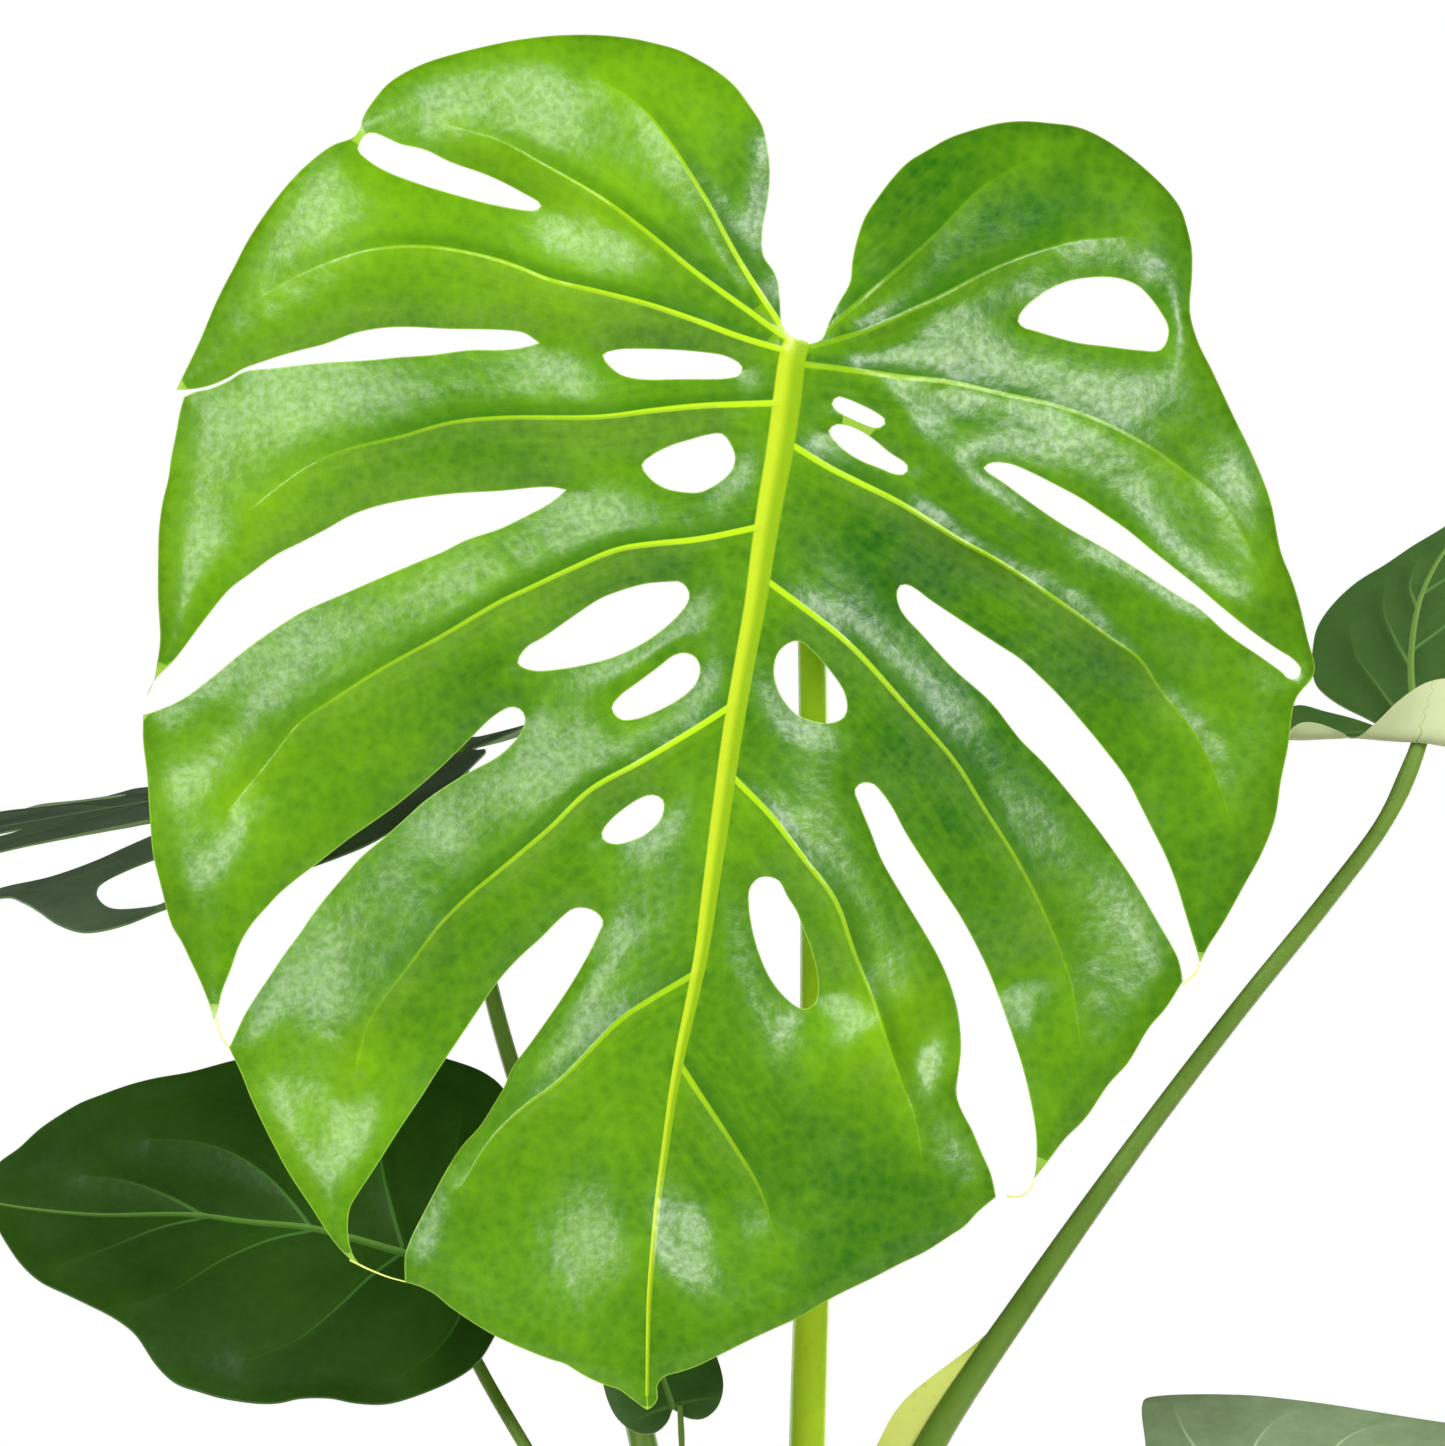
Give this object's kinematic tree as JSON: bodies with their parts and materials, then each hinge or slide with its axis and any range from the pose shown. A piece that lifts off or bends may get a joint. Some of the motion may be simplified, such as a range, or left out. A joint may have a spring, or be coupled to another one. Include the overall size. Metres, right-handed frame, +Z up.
{
  "type": "potted swiss cheese plant",
  "caption": "Potted Swiss cheese plant (monstera): a large slit and holed heart-shaped leaf and smaller leaves on long petioles, rooted in soil in a plain flower pot.",
  "frame": {"origin": "centre of the pot's flat underside", "axes": "+Z up out of the pot, +X to the right and -Y towards the viewer who faces the large front leaf"},
  "size_m": [0.6011, 0.3272, 0.8215],
  "materials": {
    "young_blade": "satin",
    "mature_blade": "satin",
    "petiole": "satin",
    "cane": "matte",
    "soil": "matte",
    "pot": "matte"
  },
  "bodies": {
    "root": {"pot": "pot", "soil": "soil", "cane_right": "cane", "cane_left": "cane", "blade_front": "young_blade", "petiole_front": "petiole", "blade_left": "mature_blade", "petiole_left": "petiole", "blade_low_left": "mature_blade", "petiole_low_left": "petiole", "blade_right": "mature_blade", "petiole_right": "petiole", "blade_low_right": "mature_blade", "petiole_low_right": "petiole", "blade_small": "mature_blade", "petiole_small": "petiole"}
  },
  "joints": []
}
